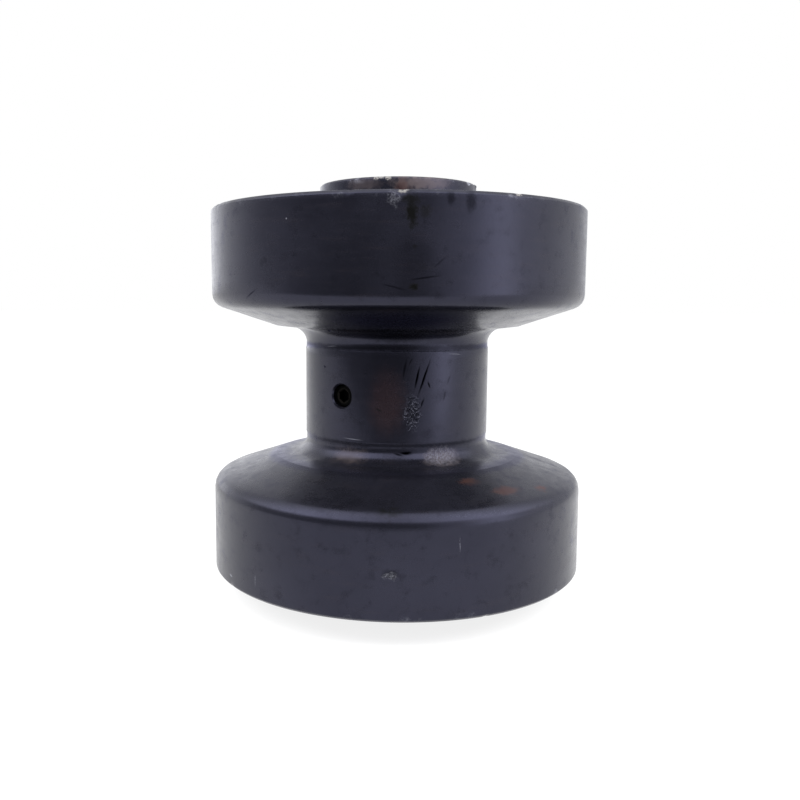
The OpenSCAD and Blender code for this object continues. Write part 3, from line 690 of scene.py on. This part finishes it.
# ---------------------------------------------------------------------------------------------
# End collars.  Turned steel covers that close the shell at both ends and carry the fixed half
# of each seal.  Their bosses stand out of the tread faces, painted with the shell, and lose
# their paint at the rim where the roller is stood and dragged.
# ---------------------------------------------------------------------------------------------
BOSS_R = 29.5
PIN_R = 2.5
PIN_BEARING = 90.0
PIN_Z = 71.8
NIB_BEARING = 76.7      # a nib of metal left standing on the upper boss's rim
NIB_R = 29.4
NIB_Z = 75.6
collar_marks = {
    "upper": [
        ("bare", -14.5, 76.0, 29.3, 1.3, 0.9, 0, 1.0), ("bare", -11.0, 76.2, 29.2, 1.1, 0.7, 0, 1.0),
        ("bare", -6.4, 76.0, 29.3, 1.5, 0.9, 0, 1.0), ("rust", 3.5, 73.0, 29.5, 3.4, 4.0, 0, 0.4),
        ("scuff_and_highlight", 16.0, 74.5, 29.5, 15.0, 3.4, 0, 0.6), ("scuff_and_highlight", -24.0, 74.0, 29.5, 9.0, 3.0, 0, 0.3),
        ("rust", 150.0, 73.0, 29.5, 5.0, 3.0, 0, 0.5), ("pale", 60.0, 76.0, 29.3, 2.2, 1.0, 0, 0.7),
    ],
    "lower": [
        ("rust", 60.0, -73.0, 29.5, 6.0, 3.0, 0, 0.6), ("bare", -40.0, -76.2, 29.3, 3.0, 0.8, 0, 1.0),
        ("bare", 120.0, -76.2, 29.3, 4.0, 0.8, 0, 1.0),
    ],
}
collar_corners = [
    corner(17.52, 49.24, 0.15), corner(22.5, 49.24, 0.15), corner(23.0, 49.74, 0.15, stretch=12),
    corner(23.0, 61.0, 0.3), corner(30.79, 61.0, 0.1), corner(30.79, 60.5), corner(31.8, 57.4, 0.2),
    corner(31.8, 56.0, 0.15), corner(34.8, 56.0, 0.2, stretch=9), corner(34.8, 65.0, 0.15),
    corner(34.3, 65.5, 0.15), corner(BOSS_R + 0.5, 65.5, 0.4), corner(BOSS_R, 66.0, 0.4, stretch=1.8),
    corner(BOSS_R, 75.9, 0.3, wear=0.75, stretch=1), corner(BOSS_R - 0.6, 76.5, 0.3, wear=0.6, stretch=2.5),
    corner(18.02, 76.5, 0.12, wear=0.5), corner(17.52, 76.0, 0.12, stretch=11), corner(17.52, 64.95, 0.1),
    corner(19.62, 64.95, 0.2), corner(19.62, 61.55, 0.2), corner(17.52, 61.55, 0.1, stretch=12),
]
nib_turn = math.radians(NIB_BEARING + FRONT)
nib = points_object(
    "collar_nib", [Vector((NIB_R * math.cos(nib_turn), NIB_R * math.sin(nib_turn), NIB_Z)) * MM],
    size=[1.5 * MM], depth=[0.35 * MM],
)
for end in ("upper", "lower"):
    sign = 1 if end == "upper" else -1
    paint = enamel("black_collar_enamel_" + end, collar_marks[end])
    rows = outline(collar_corners if end == "upper" else other_end(collar_corners))
    collar = turn("collar_body_" + end, rows, paint, steps=288, knocks=nib, seed=float(sign))
    drill = turn("pin_hole", outline([
        corner(0, 16.5), corner(PIN_R, 16.5), corner(PIN_R, 30.5), corner(0, 30.5),
    ]), paint, steps=48)
    cut_away(collar, aim(drill, PIN_BEARING, PIN_Z * sign))
    finish_piece(collar, "axle", "collar_paint", "collar_" + end)
bpy.data.objects.remove(nib)

# ---------------------------------------------------------------------------------------------
# Axle shaft.  Induction-hardened steel bar, ground for the bushes and left bright at its ends,
# with a blind M16 thread tapped in each end for the bolt from the track frame.
# ---------------------------------------------------------------------------------------------
SHAFT_R = 17.5
AXLE_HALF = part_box("axle_shaft")[1].z / MM
TAP_R = 7.0
TAP_PITCH = 2.0
TAP_DEPTH = 1.05        # cut outwards from the tapping hole
GROUND_STEEL = "#b9b7b2"
OILED_STEEL = "#6d675f"
# Shaft steel: hardened, then ground on centres and oiled.  It gives a bright, even grey with
# fine rings, under the warm stains that old oil leaves.
shaft_steel = worked_metal("ground_oiled_shaft_steel", GROUND_STEEL, OILED_STEEL, 0.3, 0.35, relief_mm=0.004)
half_shaft = [
    corner(SHAFT_R, 40, stretch=34), corner(SHAFT_R, AXLE_HALF - 1.0, 0.2),
    corner(SHAFT_R - 1.0, AXLE_HALF, 0.2, stretch=3), corner(TAP_R + 1.5, AXLE_HALF, 0.1),
    corner(TAP_R, AXLE_HALF - 1.5, thread=0.6, stretch=0.25),
    corner(TAP_R, AXLE_HALF - 3.0, thread=1, stretch=0.25),
    corner(TAP_R, AXLE_HALF - 33.0, thread=1, stretch=0.25), corner(TAP_R, AXLE_HALF - 35.0),
    corner(0, AXLE_HALF - 39.2),
]
shaft = turn("shaft_body", outline(other_end(half_shaft) + half_shaft, closed=False), shaft_steel,
             steps=112, pitch=TAP_PITCH, depth=TAP_DEPTH)
drills = []
for sign in (1, -1):
    drill = turn("cross_hole", outline([
        corner(0, 11.5), corner(PIN_R, 11.5), corner(PIN_R, 19), corner(0, 19),
    ]), shaft_steel, steps=48)
    drills.append(aim(drill, PIN_BEARING, PIN_Z * sign))
cut_away(shaft, *drills)
finish_piece(shaft, "axle", "shaft_steel", "axle_shaft")

# ---------------------------------------------------------------------------------------------
# Lock pins.  Slotted pins rolled from spring steel strip and driven through each boss into the
# shaft.  They are left dark from tempering; the bright scrape at the driven end is not drawn.
# ---------------------------------------------------------------------------------------------
PIN_BORE_R = 1.5
PIN_SLOT = 1.2
PIN_INNER = 11.5
PIN_OUTER = 29.0
PIN_CHAMFER = 0.35
PIN_STEPS = 40
# Pin steel: strip rolled to a tube, hardened and tempered, with nothing put on it.  The temper
# scale gives a warm dark grey with browner stains.
pin_steel = worked_metal("tempered_pin_steel", "#5a5650", "#2b2622", 0.38, 0.4)
slot_half = {r: math.asin(PIN_SLOT / 2 / r) for r in (PIN_R, PIN_BORE_R)}
for end, sign in (("upper", 1), ("lower", -1)):
    facing_back = math.pi if sign == 1 else 0.0
    levels = [(PIN_INNER, PIN_CHAMFER), (PIN_INNER + PIN_CHAMFER, 0),
              (PIN_OUTER - PIN_CHAMFER, 0), (PIN_OUTER, PIN_CHAMFER)]
    strip = bmesh.new()
    loops = []
    for level, chamfer in levels:
        loop = []
        for r, sweep in ((PIN_R, 1), (PIN_BORE_R, -1)):
            start = slot_half[r]
            span = math.tau - 2 * start
            shown = r - chamfer if r == PIN_R else r
            for t in [start + span * s / PIN_STEPS for s in range(PIN_STEPS + 1)][::sweep]:
                t += facing_back
                at = Vector((shown * math.cos(t), shown * math.sin(t), level))
                loop.append(strip.verts.new(at * MM))
        loops.append(loop)
    around = len(loops[0])
    for low, high in zip(loops, loops[1:]):
        for i in range(around):
            k = (i + 1) % around
            strip.faces.new((low[i], low[k], high[k], high[i]))
    for loop, upward in ((loops[0], False), (loops[-1], True)):
        for i in range(PIN_STEPS):
            quad = (loop[i], loop[i + 1], loop[around - 2 - i], loop[around - 1 - i])
            strip.faces.new(quad if upward else quad[::-1])
    bmesh.ops.recalc_face_normals(strip, faces=strip.faces)
    pin_mesh = bpy.data.meshes.new("pin_" + end)
    strip.to_mesh(pin_mesh)
    strip.free()
    pin_mesh.shade_smooth()
    pin_mesh.set_sharp_from_angle(angle=SHARP_ANGLE)
    pin_mesh.materials.append(pin_steel)
    pin = bpy.data.objects.new("pin_" + end, pin_mesh)
    bpy.context.scene.collection.objects.link(pin)
    finish_piece(aim(pin, PIN_BEARING, PIN_Z * sign), "axle", "pin_steel", "lock_pin_" + end)

# ---------------------------------------------------------------------------------------------
# Bushes and thrust washers.  Rolled bimetal bushes with a bronze lining, pressed into the
# shell, and bronze washers in pockets beyond them that the collar noses run on.
# ---------------------------------------------------------------------------------------------
# Bush lining: bronze powder sintered on a steel strip and bored to size.  It gives a dull
# golden brown, darker where oil sits in it.
bush_bronze = worked_metal("bronze_bush_lining", "#b98a4e", "#7c5a35", 0.34, 0.4)
# Washer bronze: cast bronze, turned flat on both sides.  It is yellower and brighter than the
# lining, with rings from the tool.
washer_bronze = worked_metal("bronze_thrust_washer", "#c79a5b", "#86643c", 0.3, 0.3)
bush_corners = [
    corner(18.05, 15.94, 0.15), corner(20.55, 15.94, 0.3, stretch=15), corner(20.55, 45.94, 0.3),
    corner(18.05, 45.94, 0.15), corner(17.55, 45.44, 0.15, stretch=15), corner(17.55, 16.44, 0.15),
]
washer_corners = [
    corner(17.7, 46.44, 0.25), corner(25.0, 46.44, 0.3), corner(25.0, 48.94, 0.3), corner(17.7, 48.94, 0.25),
]

# ---------------------------------------------------------------------------------------------
# Floating seals and O-rings.  Cast white-iron rings with lapped faces, each held and driven by
# a squeezed nitrile toric, and an O-ring that stops oil creeping along the shaft.
# ---------------------------------------------------------------------------------------------
FIXED_FACE = 55.0
TURNING_FACE = 54.94
ORING_Z = 63.25
# Seal iron: white iron, cast and then lapped to a mirror band.  It gives a cool pale grey with
# the smoothest surface of all the pieces.
seal_iron = worked_metal("lapped_seal_iron", "#9c9a97", "#5f5a54", 0.26, 0.25)
# Seal rubber: nitrile, moulded and left with the mould's fine grain.  It gives a flat near-black.
seal_rubber = worked_metal("nitrile_toric_rubber", "#161616", "#0e0e0e", 0.55, 0.5, metallic=0.0,
                           relief_mm=0.01)
# O-ring rubber: nitrile from a smoother mould, wiped with oil, so a little shinier.
oring_rubber = worked_metal("nitrile_oring_rubber", "#131314", "#0c0c0c", 0.5, 0.5, metallic=0.0,
                            relief_mm=0.008)
# The corners of a seal ring and a toric: r, height off the lapped face, and rounding.
seal_ring_corners = [(24.5, 0, 0.3), (31.0, 0, 0.2), (31.0, 1.8, 0.4),
                     (28.8, 2.4, 0.8), (27.79, 5.5, 0.3), (24.5, 5.5, 0.3)]
toric_corners = [(28.57, 3.1, 0.5), (29.32, 2.6, 0.6), (30.82, 2.6, 0.6), (31.57, 3.1, 0.5),
                 (30.95, 5.0, 0.5), (30.2, 5.5, 0.6), (28.7, 5.5, 0.6), (27.96, 5.0, 0.5)]
oring_corners = [
    corner(SHAFT_R, ORING_Z - 0.72, 0.5), corner(18.0, ORING_Z - 1.45, 0.6),
    corner(19.12, ORING_Z - 1.45, 0.6), corner(19.62, ORING_Z - 0.72, 0.5),
    corner(19.62, ORING_Z + 0.72, 0.5), corner(19.12, ORING_Z + 1.45, 0.6),
    corner(18.0, ORING_Z + 1.45, 0.6), corner(SHAFT_R, ORING_Z + 0.72, 0.5),
]


def seal_half(corners, fixed):
    """The corners of one seal piece at the upper end, from heights off its lapped face."""
    if fixed:
        return [corner(r, FIXED_FACE + h, rounding) for r, h, rounding in corners]
    return [corner(r, TURNING_FACE - h, rounding) for r, h, rounding in corners[::-1]]


# Each pair: its name, corners, finish, the body it rides on, its slot and its CAD nodes.
ring_turning = seal_half(seal_ring_corners, False)
ring_fixed = seal_half(seal_ring_corners, True)
toric_turning = seal_half(toric_corners, False)
toric_fixed = seal_half(toric_corners, True)
inner_pieces = [
    ("bimetal_bush", bush_corners, bush_bronze, "roller", "bush_bronze", "bush_"),
    ("bronze_washer", washer_corners, washer_bronze, "roller", "washer_bronze", "thrust_washer_"),
    ("ring_turning", ring_turning, seal_iron, "roller", "seal_iron", "seal_ring_rotating_"),
    ("ring_fixed", ring_fixed, seal_iron, "axle", "seal_iron", "seal_ring_fixed_"),
    ("toric_turning", toric_turning, seal_rubber, "roller", "seal_rubber", "seal_toric_rotating_"),
    ("toric_fixed", toric_fixed, seal_rubber, "axle", "seal_rubber", "seal_toric_fixed_"),
    ("oring", oring_corners, oring_rubber, "axle", "oring_rubber", "shaft_oring_"),
]
for piece_name, corners, material, body_name, slot_name, node in inner_pieces:
    for end in ("upper", "lower"):
        rows = outline(corners if end == "upper" else other_end(corners))
        finish_piece(turn(piece_name + "_" + end, rows, material), body_name, slot_name, node + end)

# ---------------------------------------------------------------------------------------------
# Floor, light and camera.  A white table that glows softly, a room of pale walls and ceiling
# with two soft boxes at the sides, and a close camera a little above the neck.
# ---------------------------------------------------------------------------------------------
FLOOR_COLOUR = "#626262"
FLOOR_GLOW = 0.83
FLOOR_ROUGHNESS = 0.9
FLOOR_REACH = 6.0
TABLE_FRONT = -0.28
floor_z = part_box("collar_lower")[0].z
floor_mesh = bpy.data.meshes.new("studio_floor")
floor_mesh.from_pydata([
    (-FLOOR_REACH, TABLE_FRONT, floor_z), (FLOOR_REACH, TABLE_FRONT, floor_z),
    (FLOOR_REACH, FLOOR_REACH, floor_z), (-FLOOR_REACH, FLOOR_REACH, floor_z),
], [], [(0, 1, 2, 3)])
floor = bpy.data.objects.new("studio_floor", floor_mesh)
bpy.context.scene.collection.objects.link(floor)
# Table: sheet sprayed matt white and lit through from below, so it gives a flat white with only
# a faint shadow under the roller.
floor_paint, _, floor_shader, _ = new_material("matt_white_table")
floor_shader.inputs["Base Color"].default_value = linear(FLOOR_COLOUR)
floor_shader.inputs["Roughness"].default_value = FLOOR_ROUGHNESS
floor_shader.inputs["Specular IOR Level"].default_value = 0.0
floor_shader.inputs["Emission Color"].default_value = linear("#ffffff")
floor_shader.inputs["Emission Strength"].default_value = FLOOR_GLOW
floor_mesh.materials.append(floor_paint)

# How bright the wall is at each bearing from the camera's side, in degrees.
WALLS = [(-180, 0.5), (-141, 0.6), (-116, 0.4), (-79, 0.18), (-45, 0.12), (-20, 0.08), (12, 0.075),
         (34, 0.33), (62, 1.0), (80, 0.55), (102, 0.4), (130, 0.3), (155, 0.34), (180, 0.38)]
WALL_STRENGTH = 3.0
ROOM_TINT = "#f9faff"
CEILING_FRONT = 1.8
CEILING_BACK = 0.82
CEILING_SIDES = 2.6
CEILING_FADE = (0.26, 0.46)     # rise of a ray at which the wall ends and the ceiling is whole
CEILING_DEPTH = (-0.3, 0.5)     # from the camera's side to the far side
world = bpy.data.worlds.new("studio")
bpy.context.scene.world = world
world.use_nodes = True
sky = world.node_tree
sky.nodes.clear()
toward = add(sky, "ShaderNodeTexCoord").outputs["Generated"]
split = add(sky, "ShaderNodeSeparateXYZ", {0: toward}).outputs
forward = add(sky, "ShaderNodeMath", {0: split[1], 1: -1.0}, operation="MULTIPLY").outputs[0]
bearing = add(sky, "ShaderNodeMath", {0: split[0], 1: forward}, operation="ARCTAN2").outputs[0]
share = add(sky, "ShaderNodeMapRange", {0: bearing, 1: -math.pi, 2: math.pi, 3: 0.0, 4: 1.0}).outputs[0]
walls = add(sky, "ShaderNodeValToRGB", {0: share})
ramp = walls.color_ramp
ramp.interpolation = "EASE"
while len(ramp.elements) < len(WALLS):
    ramp.elements.new(0.5)
for element, (degrees, grey) in zip(ramp.elements, WALLS):
    element.position = (degrees + 180) / 360
    element.color = (grey, grey, grey, 1)
walls = add(sky, "ShaderNodeMath", {0: walls.outputs[0], 1: WALL_STRENGTH}, operation="MULTIPLY").outputs[0]
overhead = add(sky, "ShaderNodeMapRange", {
    0: split[2], 1: CEILING_FADE[0], 2: CEILING_FADE[1], 3: 0.0, 4: 1.0},
    interpolation_type="SMOOTHSTEP").outputs[0]
nearer = add(sky, "ShaderNodeMapRange", {
    0: split[1], 1: CEILING_DEPTH[0], 2: CEILING_DEPTH[1], 3: 1.0, 4: 0.0}).outputs[0]
aside = add(sky, "ShaderNodeMath", {0: split[0]}, operation="ABSOLUTE").outputs[0]
front = add(sky, "ShaderNodeMath", {0: aside, 1: CEILING_SIDES, 2: CEILING_FRONT},
            operation="MULTIPLY_ADD").outputs[0]
ceiling = add(sky, "ShaderNodeMix", {0: nearer, 2: CEILING_BACK, 3: front}).outputs[0]
level = add(sky, "ShaderNodeMix", {0: overhead, 2: walls, 3: ceiling}).outputs[0]
seen = add(sky, "ShaderNodeLightPath").outputs["Is Camera Ray"]
level = add(sky, "ShaderNodeMix", {0: seen, 2: level, 3: 1.0}).outputs[0]
tint = add(sky, "ShaderNodeMix", {0: seen, 6: linear(ROOM_TINT), 7: linear("#ffffff")},
           data_type="RGBA").outputs[2]
glow = add(sky, "ShaderNodeBackground", {"Color": tint, "Strength": level}).outputs[0]
add(sky, "ShaderNodeOutputWorld", {0: glow})

# Side, bearing and lift in degrees, distance and width in metres, and watts.
SOFTBOXES = [("left", -62, 42, 0.9, 0.5, 12.0), ("right", 62, 40, 0.9, 0.46, 15.0)]
for side, degrees, lift, away_m, size, power in SOFTBOXES:
    lamp = bpy.data.lights.new("softbox_" + side, "AREA")
    lamp.shape = "SQUARE"
    lamp.size = size
    lamp.energy = power
    box = bpy.data.objects.new("softbox_" + side, lamp)
    turned, raised = math.radians(degrees + FRONT), math.radians(lift)
    out = math.cos(raised)
    back = Vector((math.cos(turned) * out, math.sin(turned) * out, math.sin(raised)))
    box.matrix_world = Matrix.Translation(back * away_m) @ back.to_track_quat("Z", "Y").to_matrix().to_4x4()
    box.visible_camera = False
    box.visible_glossy = False
    bpy.context.scene.collection.objects.link(box)

# The camera's place in metres and its turns in radians, fitted to the outline of the object.
CAMERA_BACK = 0.3187
CAMERA_UP = 0.0346
CAMERA_YAW = 0.0349
CAMERA_PITCH = 0.110
CAMERA_ROLL = 0.0039
SENSOR_MM = 36.0
LENS_MM = 36.997
LENS_SHIFT = (0.0402, -0.0135)
NEAREST = 0.02
lens = bpy.data.cameras.new("camera")
lens.sensor_width = SENSOR_MM
lens.lens = LENS_MM
lens.shift_x, lens.shift_y = LENS_SHIFT
lens.clip_start = NEAREST
camera = bpy.data.objects.new("camera", lens)
bpy.context.scene.collection.objects.link(camera)
look = Euler((math.pi / 2 - CAMERA_PITCH, 0, CAMERA_YAW)).to_matrix() @ Matrix.Rotation(CAMERA_ROLL, 3, "Z")
camera.matrix_world = Matrix.Translation((0, -CAMERA_BACK, CAMERA_UP)) @ look.to_4x4()
bpy.context.scene.camera = camera
bpy.context.scene.view_settings.view_transform = "Standard"
